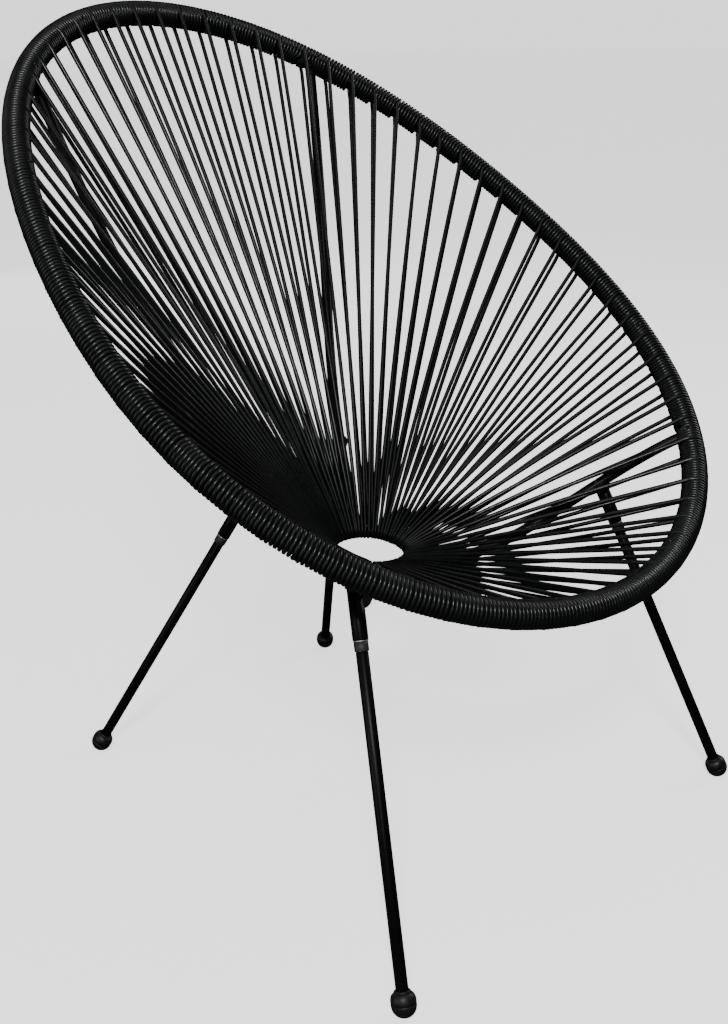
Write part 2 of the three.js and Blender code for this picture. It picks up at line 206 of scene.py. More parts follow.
# Studio
FLOOR_REACH = 60.0
FLOOR_CLOUD = 0.6
FLOOR_GLOW = (1.5, 1.49, 1.475)  # as the camera sees it
AIR_GLOW = 0.02  # what reaches the chair from all around
BACKGROUND_GLOW = 1.58
BACKGROUND_TONE = (1.0, 0.995, 0.985)
LIGHT_AIM = (0, 0, 0.5)
LIGHTS = {
    "key": {"place": (-2.1, -1.85, 2.5), "side": 0.5, "power": 110},
    "ceiling": {"place": (-0.2, 0.0, 3.2), "side": 2.2, "power": 22},
    "left": {"place": (-3.0, 0.8, 0.9), "side": 2.0, "power": 30},
    "right": {"place": (2.8, -0.6, 1.7), "side": 1.2, "power": 32},
    "low": {"place": (-2.1, -2.1, 0.8), "side": 0.3, "power": 8},
    "back": {"place": (1.6, 3.2, 1.2), "side": 2.0, "power": 16},
}

ROUND_SIDES = 32
LINE_STEPS = 72  # points on the closed line of a saddle cut or a weld

scatter = np.random.default_rng(4)


def unit(vectors):
    """Vectors, in the last axis, made one long."""
    return vectors / np.linalg.norm(vectors, axis=-1, keepdims=True)


def blend(first, last, share):
    return first + (last - first) * share


def smooth(share):
    """A share that eases out of 0 and into 1."""
    share = np.clip(share, 0, 1)
    return share * share * (3 - 2 * share)


# Places on the rim, the ring and the ribs


def rim_at(angle):
    """Places on the rim's middle line. The angle runs from the back over +X to the front."""
    angle = np.asarray(angle, float)
    egg = 1 - RIM_EGG_SHARE * np.cos(angle)
    across = RIM_HALF_WIDTH * (np.sin(angle) * egg + RIM_FULLNESS_SHARE * np.sin(3 * angle))
    along = RIM_HALF_LENGTH * (np.cos(angle) + RIM_FULLNESS_SHARE * np.cos(3 * angle))
    height = RIM_CENTRE_HEIGHT + along * math.sin(RIM_SLOPE)
    return np.stack([across, along * math.cos(RIM_SLOPE), height], axis=-1)


RULER_ANGLES = np.linspace(-2 * math.pi, 4 * math.pi, RULER_STEPS + 1)
RULER = np.concatenate(
    [[0], np.cumsum(np.linalg.norm(np.diff(rim_at(RULER_ANGLES), axis=0), axis=1))]
)
RIM_LENGTH = RULER[-1] / 3
PITCH = RIM_LENGTH / STATIONS


def rim_point(station):
    """Evenly spaced places on the rim, counted from the back."""
    distance = RIM_LENGTH + np.asarray(station, float) * PITCH
    return rim_at(np.interp(distance, RULER, RULER_ANGLES))


def rim_along(station):
    step = 0.01
    station = np.asarray(station, float)
    return unit(rim_point(station + step) - rim_point(station - step))


RING_MIDDLE = np.array([0, -RING_FORWARD, RING_HEIGHT])
RING_BACK = np.array([0, math.cos(RING_SLOPE), math.sin(RING_SLOPE)])
RING_UP = np.array([0, -math.sin(RING_SLOPE), math.cos(RING_SLOPE)])
RIGHT = np.array([1, 0, 0])


def ring_place(angle, reach=RING_RADIUS, height=0):
    """Places in the ring's tilted plane, on its middle line if nothing else is said."""
    across = np.multiply.outer(reach * np.sin(angle), RIGHT)
    back = np.multiply.outer(reach * np.cos(angle), RING_BACK)
    return RING_MIDDLE + across + back + RING_UP * height


def ring_along(angle):
    return np.multiply.outer(np.cos(angle), RIGHT) - np.multiply.outer(np.sin(angle), RING_BACK)


def rib_path(rib, side, shares):
    """A rib bends once near the rim and once near the ring, as a curve with two handles."""
    top = rim_point(rib["station"] + rib["rim_shift"])
    reach = math.hypot(top[0], top[1] + RING_FORWARD)
    top_angle = math.atan2(top[0], top[1] + RING_FORWARD)
    end_reach = RING_RADIUS + RIB_END_REACH
    end = ring_place(rib["ring_angle"], end_reach, -RIB_END_DROP)
    handles = []
    for reach_share, height_share, angle_share in zip(rib["reach"], rib["height"], rib["angle"]):
        angle = blend(rib["ring_angle"], top_angle, angle_share)
        out = blend(end_reach, reach, reach_share)
        height = blend(end[2], top[2], height_share)
        handles.append([out * math.sin(angle), out * math.cos(angle) - RING_FORWARD, height])
    handles = np.array(handles)
    s = np.asarray(shares, float)[:, None]
    path = (
        (1 - s) ** 3 * top
        + 3 * (1 - s) ** 2 * s * handles[0]
        + 3 * (1 - s) * s**2 * handles[1]
        + s**3 * end
    )
    return path * [side, 1, 1]


RIB_STOPS = np.array(
    [
        -FRONT_RIB_STATION,
        -REAR_RIB_STATION,
        REAR_RIB_STATION,
        FRONT_RIB_STATION,
        STATIONS - FRONT_RIB_STATION,
        STATIONS - REAR_RIB_STATION,
    ]
)
RIB_ANGLES = np.array(
    [
        -FRONT_RIB["ring_angle"],
        -REAR_RIB["ring_angle"],
        REAR_RIB["ring_angle"],
        FRONT_RIB["ring_angle"],
        2 * math.pi - FRONT_RIB["ring_angle"],
        2 * math.pi - REAR_RIB["ring_angle"],
    ]
)


def ring_angle(station):
    """Cord shares out the ring evenly between the ribs."""
    return np.interp(station, RIB_STOPS, RIB_ANGLES)


def lower_ring_angle(station):
    """The lower strands keep clear of the ribs, whose ends lie under the ring."""
    keep_off = math.asin((RIB_RADIUS + CORD_RADIUS) / RING_RADIUS)
    side = np.searchsorted(RIB_STOPS, station) - 1
    low, high = RIB_STOPS[side], RIB_STOPS[side + 1]
    first, last = RIB_ANGLES[side] + keep_off, RIB_ANGLES[side + 1] - keep_off
    return blend(first, last, (station - low - 0.5) / (high - low - 1))


# Meshes


def add_object(name, mesh, slot, replaced=()):
    """A piece of the chair that rides on the frame."""
    piece = bpy.data.objects.new(name, mesh)
    bpy.context.scene.collection.objects.link(piece)
    for polygon in mesh.polygons:
        polygon.use_smooth = True
    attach(piece, BODY)
    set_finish(piece, slot)
    if replaced:
        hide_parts(*replaced)
    return piece


def mesh_of_rings(name, rings, closed=False):
    """A skin over rings of points, all with the same number of points. It is capped at both ends,
    or closed where the last ring joins the first."""
    count, sides, _ = rings.shape
    index = np.arange(count * sides).reshape(count, sides)
    far = np.roll(index, -1, axis=0)
    near, far = (index, far) if closed else (index[:-1], far[:-1])
    quads = np.stack([near, np.roll(near, -1, axis=1), np.roll(far, -1, axis=1), far], axis=-1)
    faces = quads.reshape(-1, 4).tolist()
    if not closed:
        faces += [index[0, ::-1].tolist(), index[-1].tolist()]
    points = rings.reshape(-1, 3)
    corners = points[quads.reshape(-1, 4)]
    volume = np.sum(np.cross(corners[:, 0], corners[:, 1]) * corners[:, 2])
    volume += np.sum(np.cross(corners[:, 0], corners[:, 2]) * corners[:, 3])
    if volume < 0:
        faces = [face[::-1] for face in faces]
    mesh = bpy.data.meshes.new(name)
    mesh.from_pydata(points.tolist(), [], faces)
    mesh.update()
    return mesh


def tangents_of(path, closed=False):
    if closed:
        return unit(np.roll(path, -1, axis=0) - np.roll(path, 1, axis=0))
    steps = unit(np.diff(path, axis=0))
    return unit(np.vstack([steps[:1], steps[:-1] + steps[1:], steps[-1:]]))


def rings_along(path, outward, widths, heights, sides, closed=False, fullness=None):
    """Oval rings across a path. Each is widths across and heights along its outward vector, and
    its fullness bulges it between those."""
    tangents = tangents_of(path, closed)
    outward = unit(outward - tangents * np.sum(outward * tangents, axis=1, keepdims=True))
    sideways = np.cross(tangents, outward)
    turn = np.arange(sides) * 2 * math.pi / sides
    across = sideways[:, None] * (widths[:, None] * np.cos(turn))[..., None]
    out = outward[:, None] * (heights[:, None] * np.sin(turn))[..., None]
    if fullness is None:
        return path[:, None] + across + out
    bulge = 1 + fullness[:, None] * np.sin(2 * turn) ** 2
    return path[:, None] + (across + out) * bulge[..., None]


def steady_normals(path):
    """Vectors across a path that turn as little as they can along it."""
    tangents = tangents_of(path)
    normal = np.cross(tangents[0], [0.0, 0.0, 1.0])
    normals = []
    for tangent in tangents:
        normal = unit(normal - tangent * np.dot(normal, tangent))
        normals.append(normal)
    return np.array(normals)


def rod(name, path, radius, slot, replaced=()):
    """A round bar along a path, with rounded edges at its ends."""
    path = np.asarray(path, float)
    first, last = unit(path[1] - path[0]) * EDGE, unit(path[-2] - path[-1]) * EDGE
    path = np.vstack([path[:1], path[:1] + first, path[1:-1], path[-1:] + last, path[-1:]])
    radii = np.full(len(path), radius)
    radii[[0, -1]] -= EDGE
    rings = rings_along(path, steady_normals(path), radii, radii, ROUND_SIDES)
    return add_object(name, mesh_of_rings(name, rings), slot, replaced)


def hoop(name, path, normal, radii, slot, replaced=()):
    """A round bar along a closed path. normal is a vector, or one for each point, across it."""
    outward = np.broadcast_to(normal, path.shape)
    radii = np.broadcast_to(radii, len(path))
    rings = rings_along(path, outward, radii, radii, ROUND_SIDES, closed=True)
    return add_object(name, mesh_of_rings(name, rings, closed=True), slot, replaced)


def turned(name, profile, place, axis, slot, replaced=()):
    """A closed profile of (radius, height) points turned round an axis that starts at place."""
    profile = np.asarray(profile, float)
    turn = np.arange(ROUND_SIDES) * 2 * math.pi / ROUND_SIDES
    rings = np.stack(
        [
            profile[:, :1] * np.cos(turn),
            profile[:, :1] * np.sin(turn),
            np.repeat(profile[:, 1:], ROUND_SIDES, axis=1),
        ],
        axis=-1,
    )
    mesh = mesh_of_rings(name, rings, closed=True)
    mesh.transform(Matrix.Translation(place) @ UP.rotation_difference(axis).to_matrix().to_4x4())
    return add_object(name, mesh, slot, replaced)


def saddle(place, axis, radius, carrier_along, carrier_radius):
    """Where a rod that leaves a round bar at place, along axis, meets the bar's skin: the line,
    and the rod's own two directions across."""
    side = unit(np.cross(carrier_along, axis))
    level = np.cross(axis, side)
    normal = np.cross(side, unit(carrier_along))
    normal = normal * math.copysign(1, normal @ axis)
    turn = np.arange(LINE_STEPS) * 2 * math.pi / LINE_STEPS
    u, v = radius * np.cos(turn), radius * np.sin(turn)
    lift = np.sqrt(np.maximum(carrier_radius**2 - u**2, 0))
    height = (lift - v * (level @ normal)) / (axis @ normal)
    line = place + np.outer(u, side) + np.outer(v, level) + np.outer(height, axis)
    return line, side, level


def weld(name, place, axis, radius, carrier_along, carrier_radius):
    """A lumpy bead of weld round a rod where it meets a round bar."""
    line, _, _ = saddle(place, axis, radius, carrier_along, carrier_radius)
    length = np.sum(np.linalg.norm(np.roll(line, -1, axis=0) - line, axis=1))
    lumps = max(1, round(length / WELD_LUMP_LENGTH))
    turn = np.arange(LINE_STEPS) * 2 * math.pi / LINE_STEPS
    uneven = scatter.uniform(-1, 1, LINE_STEPS) * WELD_UNEVEN_SHARE
    radii = WELD_RADIUS * (1 + WELD_LUMP_SHARE * (np.cos(turn * lumps) + uneven))
    return hoop(name, line, line - line.mean(axis=0), radii, "frame")


# Cord


def square_to(along, towards):
    """Upward and inward directions square to a tube, for cord that runs off it towards a place."""
    up = unit(np.cross(along, towards))
    inward = unit(towards - along * np.sum(towards * along, axis=-1, keepdims=True))
    return up * np.sign(up[..., 2:]), inward


def rim_frame(station):
    """Place, direction along, upward and inward at stations of the rim."""
    station = np.asarray(station, float)
    place, along = rim_point(station), rim_along(station)
    up, inward = square_to(along, unit(ring_place(ring_angle(station)) - place))
    return place, along, up, inward


def rib_weld(rib, side):
    """The station where a rib meets the rim, and where round the rim that is, in turns."""
    station = side * (rib["station"] + rib["rim_shift"])
    _, _, up, inward = rim_frame([station])
    first, second = rib_path(rib, side, [0, 2 * RIB_SLOPE_SHARE])
    leave = second - first
    return station, math.atan2(leave @ inward[0], leave @ up[0]) / (2 * math.pi)


# Of a turn, how far round the rim a rib reaches to each side of its weld
RIB_TURN = math.asin(RIB_RADIUS / (RIM_TUBE_RADIUS + CORD_RADIUS)) / (2 * math.pi)
RIB_WELDS = [rib_weld(rib, side) for rib in (REAR_RIB, FRONT_RIB) for side in (1, -1)]
RIB_WELDS += [(station + STATIONS, turn) for station, turn in RIB_WELDS if station < 0]

TURN_MARKS = np.arange(-STATIONS, 2 * STATIONS, 1 / TURNS_PER_STATION) * TURNS_PER_STATION
STATION_MARKS = np.arange(-STATIONS, 2 * STATIONS) + 0.5


def scattered(count, most):
    """The same uneven values for each time round the rim."""
    return np.tile(scatter.uniform(-most, most, count), 3)


TURN_SPREADS = scattered(STATIONS * TURNS_PER_STATION, TURN_SPREAD)
TURN_LIFTS = scattered(STATIONS * TURNS_PER_STATION, TURN_LIFT)
STATION_SPREADS = scattered(STATIONS, STRAND_SPREAD)


def lean_from_ribs(turn):
    """How far the turns beside a rib lean away from it, on the side where it is welded."""
    lean = np.zeros_like(turn)
    for station, weld_turn in RIB_WELDS:
        passing = np.round(turn - weld_turn) + weld_turn
        gap = (passing / TURNS_PER_STATION + 0.5 - station) * PITCH
        share = np.clip(1 - np.abs(gap) / LEAN_REACH, 0, 1)
        facing = smooth((LEAN_TURN - np.abs(turn - passing)) / (LEAN_TURN - RIB_TURN))
        lean += np.where(gap < 0, -1, 1) * (RIB_RADIUS + CORD_RADIUS) * share * facing
    return lean


def on_rim(station, last_run):
    """Where the middle of the cord lies on the rim, and the way outward from the tube there.
    last_run is the station where the cord was last at the ring."""
    place, along, up, inward = rim_frame(station)
    turn = (station - 0.5) * TURNS_PER_STATION
    angle = turn * 2 * math.pi
    outward = up * np.cos(angle)[:, None] + inward * np.sin(angle)[:, None]
    share_of_group = station - last_run
    crossing = smooth(1 - (1 - share_of_group) * TURNS_PER_STATION / CROSSING_TURNS)
    crossing = crossing * np.exp(-(((turn % 1 - 0.5) / CROSSING_WIDTH) ** 2))
    radius = RIM_TUBE_RADIUS + CORD_RADIUS + np.interp(turn, TURN_MARKS, TURN_LIFTS)
    radius += CROSSING_LIFT * crossing
    aside = np.interp(turn, TURN_MARKS, TURN_SPREADS) + lean_from_ribs(turn)
    aside += np.interp(station, STATION_MARKS, STATION_SPREADS)
    aside += RUN_GAP * (0.5 - share_of_group)
    return place + outward * radius[:, None] + along * aside[:, None], outward


def winding(first, last, last_run):
    """The turns between two places on the rim: points, outward vectors, and the cord's width, as a
    share, and fullness at them."""
    steps = max(2, round((last - first) * TURNS_PER_STATION * TURN_STEPS))
    points, outward = on_rim(np.linspace(first, last, steps + 1), last_run)
    count = len(points)
    return points, outward, np.ones(count), np.full(count, TURN_FULLNESS)


def loop_on_ring(station, down_angle, up_angle):
    """Half a turn of cord round the inner side of the ring, for strands from a station."""
    share = np.linspace(0, 1, LOOP_STEPS + 1)
    angle = blend(down_angle, up_angle, smooth(2 * share - 1))
    place = ring_place(angle)
    up, inward = square_to(ring_along(angle), unit(place - rim_point(station)))
    turn = share[:, None] * math.pi
    outward = up * np.cos(turn) + inward * np.sin(turn)
    lift = scatter.uniform(0, LOOP_LIFT) * np.sin(turn)
    return place + outward * (RING_ROD_RADIUS + CORD_RADIUS + lift), outward


def strand(start, start_along, end, end_along, outs):
    """A strand from the rim to the ring. It leaves both square to them and bends to its own line
    close by."""
    run = end - start
    length = np.linalg.norm(run)
    bend = BEND_LENGTH * np.array(BEND_SHARES)
    middle = length * np.array(MIDDLE_SHARES)
    distance = np.concatenate([bend, middle, [length - SWELL_LENGTH], length - bend[::-1]])[:, None]
    points = start + run * distance / length
    for place, along, gone in ((start, start_along, distance), (end, end_along, length - distance)):
        skew = (end + start - 2 * place) @ along / length
        points = points - along * skew * gone * np.clip(1 - gone / BEND_LENGTH, 0, 1) ** 2
    return points, blend(outs[0], outs[1], distance / length)


def run_to_ring(station, back_station):
    """From the crown of the rim at station, down round the ring, and back up under the rim."""
    down_angle, up_angle = (
        angle + scatter.uniform(-LOOP_SPREAD, LOOP_SPREAD)
        for angle in (ring_angle(station), lower_ring_angle(station))
    )
    loop, loop_out = loop_on_ring(station, down_angle, up_angle)
    ends, end_outs = on_rim(np.array([station, back_station]), np.array([station - 1, station]))
    alongs = rim_along([station, back_station])
    down, down_out = strand(
        ends[0], alongs[0], loop[0], ring_along(down_angle), (end_outs[0], loop_out[0])
    )
    up, up_out = strand(
        ends[1], alongs[1], loop[-1], ring_along(up_angle), (end_outs[1], loop_out[-1])
    )
    points = np.vstack([down, loop, up[::-1]])
    outward = np.vstack([down_out, loop_out, up_out[::-1]])
    from_ring = np.linalg.norm(points - RING_MIDDLE, axis=1) - RING_RADIUS
    shares = blend(LOOP_SHARE, STRAND_SHARE, smooth(from_ring / SWELL_LENGTH))
    return points, outward, shares, np.zeros(len(points))


def cord_path(first, last):
    """The cord of one sector: turns on the rim, with a run to the ring at each station."""
    half_turn = 0.5 / TURNS_PER_STATION
    parts = []
    resume = first
    for station in np.arange(first, last) + 0.5:
        parts.append(winding(resume, station, station - 1))
        parts.append(run_to_ring(station, station + half_turn))
        resume = station + half_turn
    parts.append(winding(resume, last, last - 0.5))
    return [np.concatenate(kind) for kind in zip(*parts)]


def cord_sector(name, first, last):
    path, outward, shares, fullness = cord_path(first, last)
    widths, heights = CORD_RADIUS * shares, CORD_RADIUS * np.maximum(shares, 1)
    rings = rings_along(path, outward, widths, heights, CORD_SIDES, fullness=fullness)
    return add_object(name, mesh_of_rings(name, rings), "cord", [name])


def make_cord():
    pieces = []
    station = -REAR_RIB_STATION
    for side, counts in SECTORS.items():
        for number, count in enumerate(counts, 1):
            pieces.append(cord_sector(f"{side}_cord_{number}", station, station + count))
            station += count
    return pieces


# Frame


def make_hoops():
    rim = rim_at(np.arange(RIM_STEPS) * 2 * math.pi / RIM_STEPS)
    ring = ring_place(np.arange(LINE_STEPS) * 2 * math.pi / LINE_STEPS)
    rim_normal = (0, -math.sin(RIM_SLOPE), math.cos(RIM_SLOPE))
    return [
        hoop("rim_tube", rim, rim_normal, RIM_TUBE_RADIUS, "frame", ["rim_tube"]),
        hoop("centre_ring", ring, RING_UP, RING_ROD_RADIUS, "frame", ["centre_ring"]),
    ]


def make_ribs():
    pieces = []
    for row, rib in (("rear", REAR_RIB), ("front", FRONT_RIB)):
        for hand, side in (("right", 1), ("left", -1)):
            name = f"{row}_{hand}_rib"
            path = rib_path(rib, side, np.linspace(0, 1, RIB_STEPS + 1))
            start = np.linalg.norm(path - path[0], axis=1) > RIM_TUBE_RADIUS * RIB_START_SHARE
            pieces.append(rod(name, path[start], RIB_RADIUS, "frame", [name]))
            along = rim_along(side * (rib["station"] + rib["rim_shift"]))
            leave = unit(path[1] - path[0])
            pieces.append(
                weld(f"{name}_rim_weld", path[0], leave, RIB_RADIUS, along, RIM_TUBE_RADIUS)
            )
    return pieces


def make_brace():
    low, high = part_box("rear_brace")
    middle = (low + high) / 2
    ends = [np.array([x, middle.y, middle.z]) for x in (low.x, high.x)]
    pieces = [rod("rear_brace", [ends[0], np.array(middle), ends[1]], BRACE_RADIUS, "frame",
                  ["rear_brace"])]
    for hand, side in (("left", -1), ("right", 1)):
        share = np.linspace(0, 1, RIB_STEPS + 1)
        path = rib_path(REAR_RIB, side, share)
        nearest = np.argmin(np.abs(path[:, 2] - middle.z))
        place = np.array([path[nearest, 0], middle.y, middle.z])
        along = unit(path[nearest + 1] - path[nearest - 1])
        axis = np.array([-side, 0.0, 0.0])
        pieces.append(
            weld(f"rear_brace_{hand}_weld", place, axis, BRACE_RADIUS, along, SOCKET_RADIUS)
        )
    return pieces


def arc(centre_radius, centre_height, radius, height, first, last, steps):
    """Points of (radius, height) on an oval arc, by angle in degrees from outward to up."""
    angles = np.radians(np.linspace(first, last, steps + 1))
    return [
        (centre_radius + radius * math.cos(a), centre_height + height * math.sin(a))
        for a in angles
    ]


def foot_profile():
    """A rubber ball with a mould seam, a domed shoulder, a groove and a lip round the leg.
    Height is from the ball's middle. The leg hides the inside."""
    bore = LEG_RADIUS + JOINT_GAP / 2
    lip = FOOT_LIP / 2
    top = FOOT_SIDE + FOOT_SHOULDER
    groove = bore + lip
    ball = arc(0, 0, FOOT_RADIUS, FOOT_RADIUS, -90, -2, 20)
    ball[0] = (FOOT_SEAM, -FOOT_RADIUS)
    seam = arc(FOOT_RADIUS, FOOT_SEAM, FOOT_SEAM, FOOT_SEAM, -90, -270, 6)
    dome = arc(groove, FOOT_SIDE, FOOT_RADIUS - groove, FOOT_SHOULDER - FOOT_LIP, 0, 80, 12)
    roll = arc(bore + lip, top - lip, lip, lip, -60, 170, 10)
    return [*ball, *seam, *dome, (groove, top - FOOT_LIP), *roll, (bore, FOOT_SIDE),
            (FOOT_SEAM, FOOT_SIDE)]


def make_socket(name, top, axis, rib_along, length):
    """A tube cut to the rib's shape at its upper end."""
    line, side, level = saddle(top, -axis, SOCKET_RADIUS, rib_along, RIB_RADIUS)
    turn = np.arange(LINE_STEPS) * 2 * math.pi / LINE_STEPS
    circle = np.outer(np.cos(turn), side) + np.outer(np.sin(turn), level)
    rings = [line]
    for radius, distance in (
        (SOCKET_RADIUS, length - EDGE),
        (SOCKET_RADIUS - EDGE / 2, length),
        (SOCKET_RADIUS - SOCKET_WALL, length),
    ):
        rings.append(top - axis * distance + circle * radius)
    mesh = mesh_of_rings(name, np.stack(rings))
    return add_object(name, mesh, "frame", [name])


def make_leg(name, leg, side):
    x, y = leg["foot"]
    foot = np.array([side * x, y, FOOT_RADIUS - FOOT_FLAT])
    shares = leg["share"] + RIB_SLOPE_SHARE * np.array([-1, 0, 1])
    before, top, after = rib_path(leg["rib"], side, shares)
    rib_along = unit(after - before)
    length = np.linalg.norm(top - foot)
    axis = (top - foot) / length
    collar_top = length - leg["socket_length"] - JOINT_GAP
    collar_end = collar_top - COLLAR_LENGTH
    leg_top = collar_end - JOINT_GAP
    washer_end = collar_top - WASHER_LENGTH
    inside = LEG_RADIUS * COLLAR_INSIDE_SHARE
    collar = [(inside, collar_end), (COLLAR_RADIUS - EDGE, collar_end),
              (COLLAR_RADIUS, collar_end + EDGE), (COLLAR_RADIUS, washer_end), (inside, washer_end)]
    washer = [(inside, washer_end), (WASHER_RADIUS, washer_end), (WASHER_RADIUS, collar_top),
              (inside, collar_top)]
    place, up_leg = Vector(foot), Vector(axis)
    tube = [foot + axis * distance for distance in (FOOT_SIDE, leg_top / 2, leg_top)]
    rubber = turned(f"{name}_foot", foot_profile(), place, up_leg, "rubber", [f"{name}_foot"])
    for vertex in rubber.data.vertices:
        vertex.co.z = max(vertex.co.z, 0)
    return [
        make_socket(f"{name}_socket", top, axis, rib_along, leg["socket_length"]),
        weld(f"{name}_socket_weld", top, -axis, SOCKET_RADIUS, rib_along, RIB_RADIUS),
        turned(f"{name}_collar", collar, place, up_leg, "collar", [f"{name}_collar"]),
        turned(f"{name}_washer", washer, place, up_leg, "zinc"),
        rod(f"{name}_leg", tube, LEG_RADIUS, "frame", [f"{name}_leg"]),
        rubber,
    ]


def make_legs():
    pieces = []
    for row, leg in LEGS.items():
        for hand, side in (("right", 1), ("left", -1)):
            pieces += make_leg(f"{row}_{hand}", leg, side)
    return pieces


# Materials


class Value:
    """One output of a node, on which sums can be written as Python expressions."""

    def __init__(self, graph, socket):
        self.graph = graph
        self.socket = socket

    def math(self, operation, first, second):
        return self.graph.node("ShaderNodeMath", {"operation": operation}, {0: first, 1: second})

    def __add__(self, other):
        return self.math("ADD", self, other)

    def __radd__(self, other):
        return self.math("ADD", other, self)

    def __sub__(self, other):
        return self.math("SUBTRACT", self, other)

    def __rsub__(self, other):
        return self.math("SUBTRACT", other, self)

    def __mul__(self, other):
        return self.math("MULTIPLY", self, other)

    def __rmul__(self, other):
        return self.math("MULTIPLY", other, self)


class Graph:
    """The nodes of a material or of the world."""

    def __init__(self, owner):
        owner.use_nodes = True
        self.tree = owner.node_tree

    def node(self, kind, settings=None, inputs=None, output=0):
        """Adds a node. Its settings come first, then the values or links of its sockets."""
        node = self.tree.nodes.new(kind)
        for key, value in (settings or {}).items():
            setattr(node, key, value)
        for key, value in (inputs or {}).items():
            self.set(node.inputs[key], value)
        return Value(self, node.outputs[output])

    def set(self, socket, value):
        if isinstance(value, Value):
            self.tree.links.new(value.socket, socket)
        elif isinstance(value, tuple) and len(value) == 3 and socket.type == "RGBA":
            socket.default_value = (*value, 1)
        else:
            socket.default_value = value


class Finish(Graph):
    """A material, with what its nodes are built from."""

    def __init__(self, name):
        self.made = bpy.data.materials.new(name)
        super().__init__(self.made)
        self.shader = self.tree.nodes["Principled BSDF"]

    def shade(self, **sockets):
        """Sets sockets of the shader, named in small letters with underscores."""
        for name, value in sockets.items():
            title = name.replace("_", " ").title().replace("Ior", "IOR")
            self.set(self.shader.inputs[title], value)

    def noise(self, size, detail=2.0, roughness=0.5):
        """Cloudy variation from 0 to 1 with features of about that size."""
        place = self.node("ShaderNodeTexCoord", output="Object")
        return self.node(
            "ShaderNodeTexNoise",
            {},
            {"Vector": place, "Scale": 1 / size, "Detail": detail, "Roughness": roughness},
        )

    def step(self, value, low, high):
        """0 below low, 1 above high, smooth between them."""
        return self.node(
            "ShaderNodeMapRange",
            {"interpolation_type": "SMOOTHSTEP"},
            {"Value": value, "From Min": low, "From Max": high},
        )

    def facing_up(self):
        """How far the surface faces up, from 0 to 1."""
        normal = self.node("ShaderNodeNewGeometry", output="Normal")
        height = self.node("ShaderNodeSeparateXYZ", {}, {0: normal}, output=2)
        return self.step(height, DUST_AND_SHEEN_FROM, 1)

    def mix(self, factor, first, second):
        """A colour between two colours."""
        return self.node(
            "ShaderNodeMix", {"data_type": "RGBA"}, {0: factor, 6: first, 7: second}, output=2
        )

    def bump(self, height, depth, strength=1.0):
        return self.node(
            "ShaderNodeBump", {}, {"Height": height, "Distance": depth, "Strength": strength}
        )


def cord_finish():
    """Extruded PVC cord: black, half glossy, uneven in tone, with scuffs, and paler on upward faces
    with dust and a painted sheen. It is dull near the ring, where people sit."""
    black, charcoal = (0.0024, 0.0027, 0.0029), (0.0062, 0.0068, 0.0072)
    # The second colour is the pale grey of dust and painted sheen on upward faces.
    scuffed, dusty = (0.030, 0.032, 0.034), (0.026, 0.027, 0.028)
    finish = Finish("cord_pvc")
    cloud = finish.noise(CORD_CLOUD, 3.0)
    grain = finish.noise(CORD_GRAIN, 2.0)
    scuff = finish.step(finish.noise(CORD_SCUFF, 4.0, 0.65), 0.60, 0.76)
    tone = finish.mix(cloud, black, charcoal)
    # Paler upward faces: partly dust, partly a painted sheen of the light from above.
    dust_and_sheen = finish.facing_up() * finish.step(cloud, 0.35, 0.75)
    place = finish.node("ShaderNodeTexCoord", output="Object")
    from_ring = finish.node(
        "ShaderNodeVectorMath", {"operation": "DISTANCE"}, {0: place, 1: tuple(RING_MIDDLE)},
        output=1,
    )
    kept = finish.step(from_ring, RING_RADIUS, DULL_REACH)
    tone = finish.mix(scuff * 0.3, tone, scuffed)
    finish.shade(
        base_color=finish.mix(dust_and_sheen * 0.25, tone, dusty),
        roughness=0.34 + 0.10 * cloud + 0.16 * scuff,
        normal=finish.bump(grain, CORD_DEPTH, 0.4),
        specular_ior_level=0.06,
        coat_weight=0.03 + 0.33 * kept,
        coat_roughness=0.27,
    )
    return finish.made


def powder_coat_finish():
    """Black powder coat on steel tube, with its orange-peel skin and a few pale chips."""
    black, charcoal = (0.0015, 0.0015, 0.0016), (0.0040, 0.0040, 0.0042)
    scratched, bare = (0.04, 0.04, 0.042), (0.20, 0.20, 0.20)
    finish = Finish("black_powder_coat")
    peel = finish.noise(COAT_PEEL, 2.0)
    cloud = finish.noise(COAT_CLOUD, 3.0)
    scratch = finish.step(finish.noise(COAT_SCRATCH, 5.0, 0.7), 0.62, 0.70)
    chip = finish.step(finish.noise(COAT_CHIP, 3.0, 0.6), 0.735, 0.755)
    tone = finish.mix(cloud, black, charcoal)
    tone = finish.mix(scratch * 0.2, tone, scratched)
    finish.shade(
        base_color=finish.mix(chip, tone, bare),
        roughness=0.30 + 0.14 * cloud + 0.1 * scratch,
        normal=finish.bump(peel - 0.5 * chip, COAT_DEPTH, 0.35),
        specular_ior_level=0.09,
    )
    return finish.made


def collar_finish():
    """Grey plated collar, dulled and rubbed."""
    dark, pale = (0.010, 0.0103, 0.010), (0.028, 0.0285, 0.0275)
    finish = Finish("grey_collar")
    cloud = finish.noise(COLLAR_CLOUD, 4.0)
    grain = finish.noise(COLLAR_GRAIN, 2.0)
    finish.shade(
        base_color=finish.mix(cloud, dark, pale),
        roughness=0.45 + 0.2 * cloud,
        normal=finish.bump(grain, COLLAR_DEPTH, 0.4),
        specular_ior_level=0.3,
    )
    return finish.made


